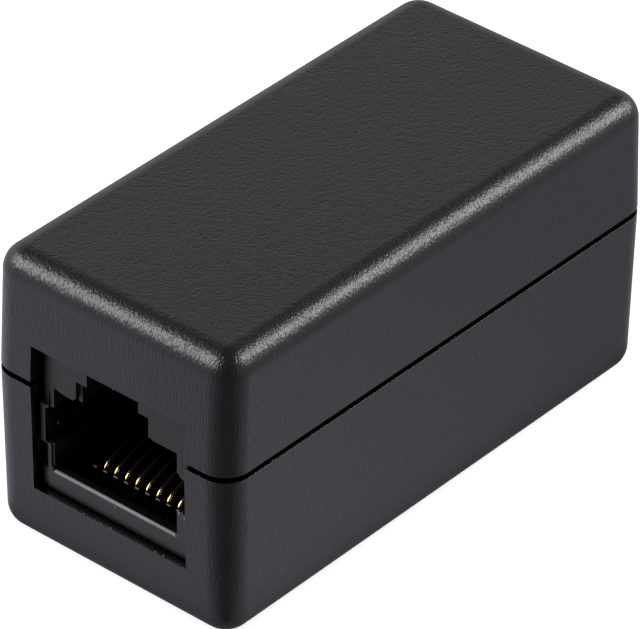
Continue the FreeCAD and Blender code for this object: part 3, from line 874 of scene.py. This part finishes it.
@dataclass
class Jack:
    """One eight-way socket: housing, comb and contact wires.

    The meshes are worked on with the socket turned to the front.
    """

    end: End
    nose: Nose = Nose()
    edge_softness: float = 0.04 * MM
    edge_reach: float = 1.0 * MM
    tooth_softness: float = 0.25 * MM
    tooth_reach: float = 0.6 * MM
    tooth_drop: float = 0.4 * MM
    tooth_lift: float = 0.22 * MM
    upright_drop: float = 0.5 * MM
    upright_lift: float = 0.20 * MM
    skin: float = 0.07 * MM
    front_reach: float = 0.5 * MM
    floor: float = 7.05 * MM
    lip_round: float = 0.28 * MM
    lip_bevel: float = 0.19 * MM
    lip_crown: float = 0.013 * MM
    lip_lift: float = 0.09 * MM
    lip_thick: float = 0.8 * MM
    chin: float = 5.38 * MM
    chin_drop: float = 0.22 * MM
    half_mouth: float = 6.02 * MM
    upper_mouth: float = 6.23 * MM
    shoulder: float = 14.35 * MM
    notch_base: float = 9.32 * MM
    notch_top: float = 12.50 * MM
    notch_chamfer: float = 0.35 * MM
    notch_side: float = 6.58 * MM
    notch_wear: float = 0.23 * MM
    half_step: float = 3.43 * MM
    step_top: float = 16.1 * MM
    ledge: float = 0.29 * MM
    ledge_depth: float = 0.22 * MM
    ledge_length: float = 2.0 * MM
    ledge_root: float = 0.04 * MM

    def build(self, housing: Material, comb: Material, wire: Material) -> None:
        """Make the socket's pieces.

        Args:
            housing: The housing's finish.
            comb: The comb's finish.
            wire: The wires' finish.
        """
        self._housing(housing)
        self._comb(comb)
        Wires(self.end).build(wire, self.face("jack_housing"))

    def face(self, part: str) -> float:
        """Where a part of the socket begins along Y."""
        low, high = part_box(f"{self.end.word}_{part}")
        return low.y if self.end is End.FRONT else -high.y

    def _turned(self, body: Mesh) -> Mesh:
        """Turn a mesh from the front to this end, or back, and give it again."""
        bmesh.ops.rotate(body, cent=(0, 0, 0), matrix=self.end.turn, verts=body.verts)
        return body

    def _soften_front(self, body: Mesh, face: float, radius: float, segments: int) -> None:
        """Round the crisp edges of a mesh that lie near its front face."""
        reach = face + self.edge_reach
        soften(body, radius, lambda edge: all(end.co.y < reach for end in edge.verts), segments)

    def _comb(self, material: Material) -> None:
        """Make the comb that holds the wires, with rounded teeth and a raised upright.

        Args:
            material: Its finish.
        """
        node = f"{self.end.word}_contact_carrier"
        face = self.face("contact_carrier")
        body = self._turned(welded(node))
        for corner in body.verts:
            height = corner.co.z
            if corner.co.y < face + self.tooth_reach and height > self.floor - self.tooth_drop:
                corner.co.z += self.tooth_lift
            elif height > self.notch_top - self.upright_drop:
                corner.co.z += self.upright_lift
        self._soften_front(body, face, self.tooth_softness, 5)
        mount(piece_from(self._turned(body), f"{node}_piece", material), "carrier", node)

    def _housing(self, material: Material) -> None:
        """Make the housing, with its bevelled lip, stepped mouth and sunk margins.

        Args:
            material: Its finish.
        """
        node = f"{self.end.word}_jack_housing"
        face = self.face("jack_housing")
        body = self._turned(welded(node))
        self._bevel_lip(body, face)
        self._widen_mouth(body, face)
        self._soften_front(body, face, self.edge_softness, 3)
        self._sink_margins(body, face)
        self._add_ledges(body, face)
        mount(piece_from(self._turned(body), f"{node}_piece", material), "housing", node)

    def _bevel_lip(self, body: Mesh, face: float) -> None:
        """Turn the lip's rounded edge into a crowned bevel, and lower the nose to the sill.

        Args:
            body: The housing.
            face: Where its nose begins along Y.
        """
        middle = (face + self.lip_round, self.floor - self.lip_round)
        for corner in body.verts:
            back, rise = corner.co.y - middle[0], corner.co.z - middle[1]
            on_round = abs(math.hypot(back, rise) - self.lip_round) < TOUCH
            in_front = back < MICRON and rise > -MICRON and abs(corner.co.x) < self.half_mouth
            on_lip = corner.co.y < face + self.lip_thick + MICRON
            if on_round and in_front:
                share = math.atan2(rise, -back) / (math.pi / 2)
                crown = self.lip_crown * math.sin(math.pi * share)
                corner.co.y = face + share * self.lip_bevel - crown
                corner.co.z = self.floor + self.lip_lift - (1 - share) * self.lip_bevel + crown
            elif on_lip and abs(corner.co.z - self.floor) < TOUCH:
                corner.co.z += self.lip_lift
            elif corner.co.y < face + self.front_reach and corner.co.z < self.chin + TOUCH:
                corner.co.z -= self.chin_drop

    def _widen_mouth(self, body: Mesh, face: float) -> None:
        """Set the mouth further out above the notches, and the right notch further out.

        Args:
            body: The housing.
            face: Where its nose begins along Y.
        """
        for corner in body.verts:
            in_front = corner.co.y < face + self.front_reach
            above = corner.co.z > self.notch_top - self.notch_chamfer
            if in_front and above and abs(abs(corner.co.x) - self.half_mouth) < TOUCH:
                corner.co.x = math.copysign(self.upper_mouth, corner.co.x)
            on_side = abs(corner.co.x - self.notch_side) < TOUCH
            if on_side and corner.co.z > self.notch_base - MICRON:
                corner.co.x += self.notch_wear

    def _sink_margins(self, body: Mesh, face: float) -> None:
        """Cut the nose into fine fields, and set each back as far as it stands back.

        Args:
            body: The housing.
            face: Where its nose begins along Y.
        """
        lines = [(place, 0) for place in self.nose.lines_across]
        lines += [(place, 2) for place in self.nose.lines_up]
        reach = face + self.skin
        for place, axis in lines:
            front = [item for item in body.faces if item.calc_center_median().y < reach]
            edges = {edge for item in front for edge in item.edges}
            corners = {corner for item in front for corner in item.verts}
            at, along = Vector(), Vector()
            at[axis], along[axis] = place * MM, 1.0
            parts = [*corners, *edges, *front]
            bmesh.ops.bisect_plane(body, geom=parts, dist=WELD, plane_co=at, plane_no=along)
        for corner in body.verts:
            if corner.co.y < reach:
                corner.co.y += self.nose.depth(corner.co.x / MM, corner.co.z / MM) * MM

    def _add_ledges(self, body: Mesh, face: float) -> None:
        """Narrow the latch step behind its mouth.

        Args:
            body: The housing.
            face: Where its nose begins along Y.
        """
        base, top = self.shoulder - NEAR, self.step_top + NEAR
        size = Matrix.Diagonal((self.ledge + self.ledge_root, self.ledge_length, top - base, 1.0))
        along = face + self.ledge_depth + self.ledge_length / 2
        for side in (-1, 1):
            middle = Vector((side * (self.half_step - self.ledge / 2), along, (base + top) / 2))
            bmesh.ops.create_cube(body, size=1.0, matrix=Matrix.Translation(middle) @ size)


@dataclass
class Wires:
    """The eight contact wires of a socket: pin, run along the board, hook, and sprung free end."""

    end: End
    count: int = 8
    pitch: float = 1.016 * MM
    radius: float = 0.155 * MM
    sides: int = 14
    run: float = 5.3 * MM
    pin_place: float = 13.4 * MM
    row_pitch: float = 2.54 * MM
    pin_foot: float = 2.4 * MM
    pin_bend: float = 0.5 * MM
    pin_steps: int = 6
    hook_place: float = 2.80 * MM
    hook_radius: float = 0.80 * MM
    hook_steps: int = 14
    bend_steps: int = 24
    spring_radius: float = 1.25 * MM
    spring_place: float = 12.6 * MM
    spring_angle: float = math.radians(20.0)

    def build(self, material: Material, face: float) -> None:
        """Make all eight wires as one piece.

        Args:
            material: Their finish.
            face: Where the housing's face lies along Y.
        """
        lines = []
        for way in range(self.count):
            back = face + self.pin_place + (self.row_pitch if way % 2 else 0.0)
            across = (way - (self.count - 1) / 2) * self.pitch
            route = self._route(face, back)
            lines.append([self.end.turn @ Vector((across, *place)) for place in route])
        piece = drawn_lines(f"{self.end.word}_contact_wires", lines)
        values = {"Radius": self.radius, "Sides": self.sides, "Material": material}
        grown(piece, wire_tree(), values)
        names = (f"{self.end.word}_contact_{way + 1}" for way in range(self.count))
        mount(piece, "contacts", *names)

    def _route(self, face: float, back: float) -> list[tuple[float, float]]:
        """The middle line of a wire as (Y, Z) places, from its pin to its free tip.

        Args:
            face: Where the housing's face lies along Y.
            back: Where the pin stands along Y.

        Returns:
            The places in order.
        """
        places = [(back, self.pin_foot)]
        for step in range(self.pin_steps + 1):
            turn = math.pi / 2 * step / self.pin_steps
            reach = self.pin_bend * (1 - math.cos(turn)), self.pin_bend * math.sin(turn)
            places.append((back - reach[0], self.run - self.pin_bend + reach[1]))
        place = (face + self.hook_place + self.hook_radius, self.run)
        bend = (math.pi - self.spring_angle) / self.bend_steps
        for step in range(self.bend_steps):
            radius = self.hook_radius if step < self.hook_steps else self.spring_radius
            turn = bend * (step + 0.5)
            places.append(place)
            chord = radius * bend
            place = (place[0] - chord * math.cos(turn), place[1] + chord * math.sin(turn))
        tip = face + self.spring_place
        rise = (tip - place[0]) * math.tan(self.spring_angle)
        return [*places, place, (tip, place[1] + rise)]


@dataclass
class Flash:
    """The fine broken edge that a mould leaves on the windows and rims, and a few larger burrs."""

    half_window: float = 7.32 * MM
    sill: float = 5.1 * MM
    lintel: float = 17.6 * MM
    lower_lean: float = math.radians(1.2)
    upper_lean: float = math.radians(2.1)
    corner: float = 2.2 * MM
    inset: float = 0.08 * MM
    rim_inset: float = 0.12 * MM
    fringe: Triple = (0.12 * MM, 0.095 * MM, 0.3)
    crumbs: Triple = (0.10 * MM, 0.05 * MM, 0.25)
    burrs: Triple = (0.07 * MM, 0.17 * MM, 0.7)
    nose: float = 23.0 * MM
    seed: int = 7

    def build(self, material: Material) -> None:
        """Make the flakes of both ends and sides.

        Args:
            material: The finish of torn plastic, with a painted highlight.
        """
        self._strew("window_flash", self._frames(), self.fringe, material)
        self._strew("rim_flash", self._rims(), self.crumbs, material)
        self._strew("torn_burrs", self._burrs(), self.burrs, material)

    def _strew(self, name: str, paths: Paths, pattern: Triple, material: Material) -> None:
        """Strew flakes along paths at both ends as one piece.

        Args:
            name: The piece's name.
            paths: The corners of each path at the front end.
            pattern: Spacing, size and share of the flakes.
            material: Their finish.
        """
        lines = [
            [Vector((turn * x, turn * y, z)) for x, y, z in path] for turn in (1, -1) for path in paths
        ]
        values = dict(zip(("Spacing", "Size", "Share"), pattern))
        values |= {"Seed": self.seed, "Material": material}
        mount(grown(drawn_lines(name, lines), flake_tree(), values), "case")

    def _frames(self) -> Paths:
        """Find the edges of the front window.

        Returns:
            The corners of the lower edges and of the upper ones.
        """
        half, lower, upper = self.half_window, PARTING - GAP / 2, PARTING + GAP / 2
        paths = (
            [(-half, self.sill), (half, self.sill), (half, lower)],
            [(half, upper), (half, self.lintel), (-half, self.lintel)],
        )
        return [[(x, -self._deep(z), z) for x, z in path] for path in paths]

    def _rims(self) -> Paths:
        """Find the lower half's rim, on the front end and one side.

        Returns:
            The corners of its straight stretches.
        """
        wide, long = (edge - self.rim_inset for edge in CAD_BOUNDS[1][:2])
        rim, half = PARTING - GAP / 2, self.half_window
        paths = (
            [(half, -long), (wide - self.corner, -long)],
            [(-half, -long), (self.corner - wide, -long)],
            [(wide, self.corner - long), (wide, long - self.corner)],
        )
        return [[(x, y, rim) for x, y in path] for path in paths]

    def _burrs(self) -> Paths:
        """Place the larger burrs round the front socket.

        Returns:
            The corners of each, from places on the nose in millimetres.
        """
        paths = (
            [(6.0, 0.0, 9.36), (6.25, -0.02, 9.3), (6.35, 0.0, 9.1)],
            [(6.5, 0.0, 9.36), (6.75, -0.02, 9.25), (6.8, 0.0, 8.95)],
            [(5.8, 0.02, 6.95), (6.02, 0.0, 7.05), (6.02, 0.0, 7.2)],
            [(-4.97, 0.0, 6.9), (-4.87, 0.0, 6.9)],
            [(0.05, 0.0, 6.86), (0.2, 0.0, 6.86)],
            [(5.3, 0.2, 5.55), (5.5, 0.2, 5.55)],
            [(-6.54, 1.2, 10.1), (-6.54, 1.3, 10.35)],
        )
        return [[(x * MM, y * MM - self.nose, z * MM) for x, y, z in path] for path in paths]

    def _deep(self, height: float) -> float:
        """How far from the middle the flakes of an end face lie at a height.

        Args:
            height: The height.

        Returns:
            The distance along Y, just under the leaning face.
        """
        rise = max(0.0, abs(height - PARTING) - GAP / 2)
        lean = self.upper_lean if height > PARTING else self.lower_lean
        return CAD_BOUNDS[1][1] - self.inset - rise * math.tan(lean)


@dataclass
class Inside:
    """The circuit board and its solder."""

    def build(self) -> None:
        """Give both their finishes."""
        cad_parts["circuit_board"].material_slots[0].material = SolderMask().build()
        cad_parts["solder_joints"].material_slots[0].material = Tin().build()


# ---- studio


@dataclass(frozen=True)
class Softbox:
    """A flat lamp that looks at the object and is not seen by the camera."""

    name: str
    towards: Triple
    width: float
    height: float
    glow: float
    distance: float = 0.45

    def place(self, aim: Vector) -> None:
        """Hang the lamp.

        Args:
            aim: The point that it looks at.
        """
        lamp = bpy.data.lights.new(self.name, "AREA")
        lamp.shape = "RECTANGLE"
        lamp.size = self.width
        lamp.size_y = self.height
        lamp.energy = self.glow * math.pi * self.width * self.height
        holder = linked(bpy.data.objects.new(self.name, lamp))
        out = Vector(self.towards).normalized()
        turn = out.to_track_quat("Z", "Y").to_matrix().to_4x4()
        holder.matrix_world = Matrix.Translation(aim + out * self.distance) @ turn
        holder.visible_camera = False


@dataclass
class Studio:
    """Pale floor, soft lamps, and the camera."""

    azimuth: float = math.radians(40.179)
    elevation: float = math.radians(34.911)
    roll: float = math.radians(0.841)
    distance: float = 0.44745
    across: float = 0.40 * MM
    upward: float = 2.353 * MM
    lens: float = 345.43
    sensor: float = 36.0
    aim: float = 12.0 * MM
    lamps: tuple[Softbox, ...] = (
        Softbox("left_lamp", (-0.529, -0.645, 0.554), 0.25, 0.265, 8.8),
        Softbox("right_lamp", (0.543, 0.627, 0.580), 0.205, 0.212, 11.7),
    )
    floor_reach: float = 3.0
    floor_drop: float = 0.02 * MM
    mirrored_left: Colour = (0.73, 0.705, 0.83)
    mirrored_front: Colour = (0.15, 0.15, 0.16)
    mirrored_right: Colour = (0.72, 0.70, 0.78)
    near_white: float = 0.72
    far_white: float = 0.85
    room_light: float = 0.4
    ceiling: float = 0.03

    def build(self) -> None:
        """Make the stage, the lamps and the camera."""
        self._floor()
        self._world()
        for lamp in self.lamps:
            lamp.place(Vector((0, 0, self.aim)))
        self._camera()

    def _camera(self) -> None:
        """Set the camera at its angle, looking across the front right corner."""
        sine, cosine = math.sin(self.azimuth), math.cos(self.azimuth)
        level, climb = math.cos(self.elevation), math.sin(self.elevation)
        back = Vector((sine * level, -cosine * level, climb))
        right = Vector((0, 0, 1)).cross(back).normalized()
        over = back.cross(right)
        across = math.cos(self.roll) * right + math.sin(self.roll) * over
        up = math.cos(self.roll) * over - math.sin(self.roll) * right
        spot = back * self.distance - across * self.across - up * self.upward
        spot.z += PARTING
        data = bpy.data.cameras.new("camera")
        data.lens = self.lens
        data.sensor_width = self.sensor
        data.sensor_fit = "HORIZONTAL"
        camera = linked(bpy.data.objects.new("camera", data))
        turn = Matrix((across, up, back)).transposed().to_4x4()
        camera.matrix_world = Matrix.Translation(spot) @ turn
        bpy.context.scene.camera = camera

    def _floor(self) -> None:
        """Lay a wide pale floor that takes the object's shadow."""
        reach, drop = self.floor_reach, -self.floor_drop
        corners = [(x * reach, y * reach, drop) for x, y in ((-1, -1), (1, -1), (1, 1), (-1, 1))]
        mesh = bpy.data.meshes.new("floor")
        mesh.from_pydata(corners, [], [(0, 1, 2, 3)])
        mesh.materials.append(self._paper())
        floor = linked(bpy.data.objects.new("floor", mesh))

    @staticmethod
    def _rays(tree: Graph) -> tuple[Signal, Signal]:
        """Two signals: 1 for the camera's rays, and 1 for mirrored ones."""
        kinds = ("Is Camera Ray", "Is Glossy Ray")
        return tuple(tree.node("ShaderNodeLightPath", output=kind) for kind in kinds)

    def _paper(self) -> Material:
        """Make the floor's finish: white where seen, and where mirrored falling off to dark in front,
        with painted shadow round the object's foot.

        Returns:
            The material.
        """
        tree = Shader("floor")
        seen, mirrored = self._rays(tree)
        low, high = CAD_BOUNDS
        away = [abs(tree.axis(tree.place, name)) - high[place] for place, name in enumerate("XY")]
        away = tree.node("ShaderNodeMath", dict(enumerate(away)), operation="MAXIMUM")
        white = seen * tree.ease(away, 150.0 * MM, 500.0 * MM, self.near_white, self.far_white)
        white = tree.node("ShaderNodeEmission", {"Color": white, "Strength": 1.0})
        sheet = tree.node("ShaderNodeBsdfDiffuse", {"Color": (0.5, 0.5, 0.5, 1.0)})
        lit = tree.node("ShaderNodeAddShader", {0: sheet, 1: white})

        turn = math.atan2(-math.cos(self.azimuth), math.sin(self.azimuth))
        corner = (high[0], low[1], 0.0)
        spot = {"Vector": tree.place, "Location": corner, "Rotation": (0.0, 0.0, turn)}
        around = tree.node("ShaderNodeMapping", spot, vector_type="TEXTURE")
        around = {"Vector": around}
        bearing = tree.node("ShaderNodeTexGradient", around, "Fac", gradient_type="RADIAL")
        front = self.mirrored_front
        colours = (self.mirrored_left, front, front, self.mirrored_right)
        stops = list(zip((0.236, 0.417, 0.583, 0.764), colours))
        sides = tree.node("ShaderNodeValToRGB", {0: bearing}, stops=stops)
        fall = tree.ease(tree.axis(tree.place, "Y"), -20.0 * MM, 45.0 * MM, 1.0, 0.62)
        # painted shadow of the object on the floor's mirrored image, darkest at its foot
        shade = tree.ease(away, -1.0 * MM, 3.0 * MM, 0.25, 0.88)
        shade = shade + tree.ease(away, 4.0 * MM, 28.0 * MM, 0.0, 0.12)
        glow = {"Color": tree.scaled(sides, fall * shade), "Strength": 1.0}
        image = tree.node("ShaderNodeEmission", glow)
        both = tree.node("ShaderNodeMixShader", {0: mirrored, 1: lit, 2: image})
        tree.node("ShaderNodeOutputMaterial", {"Surface": both})
        return tree.material

    def _world(self) -> None:
        """Surround all with white where seen, and else with pale walls under a dim ceiling."""
        world = bpy.data.worlds.new("surroundings")
        world.use_nodes = True
        bpy.context.scene.world = world
        tree = Graph(world.node_tree)
        seen, mirrored = self._rays(tree)
        way = tree.node("ShaderNodeTexCoord", output="Generated")
        sine, cosine = math.sin(self.azimuth), math.cos(self.azimuth)
        front, right = (
            tree.node("ShaderNodeVectorMath", {0: way, 1: axis}, "Value", operation="DOT_PRODUCT")
            for axis in ((sine, -cosine, 0.0), (cosine, sine, 0.0))
        )
        back = tree.ease(0 - front, 0.3, 0.8, 0.0, 0.66) * tree.ease(right, -0.35, 0.35, 1.25, 0.75)
        sides = tree.ease(right, 0.3, 0.8, 0.0, 0.7) + tree.ease(0 - right, 0.3, 0.8, 0.0, 0.62)
        wall = tree.ease(tree.axis(way, "Z"), 0.60, 0.80, 1.0, 0.0)
        room = ((back + sides) * wall + self.ceiling) * (2 * self.room_light)
        level = mirrored * (room - self.room_light) + self.room_light + seen * (1 - self.room_light)
        light = tree.node("ShaderNodeBackground", {"Color": level, "Strength": 1.0})
        tree.node("ShaderNodeOutputWorld", {"Surface": light})


def main() -> None:
    """Build the object and its stage, and report each piece."""
    logging.basicConfig(level=logging.INFO, format="%(name)s: %(message)s")
    bpy.context.scene.view_settings.view_transform = "Standard"
    plastic = GrainedCase().build()
    Case().build(plastic)
    Flash().build(TornFlash().build())
    housing = SatinMoulding("socket_housing").build()
    # the comb's darker colour is painted shade, for its place deep in the socket
    comb = SatinMoulding(
        "socket_comb", colour=(0.0005, 0.0005, 0.0004), roughness=0.30, gloss=0.32
    ).build()
    wire = PlatedWire().build()
    for end in End:
        Jack(end).build(housing, comb, wire)
    Inside().build()
    Studio().build()


if __name__ == "__main__":
    main()
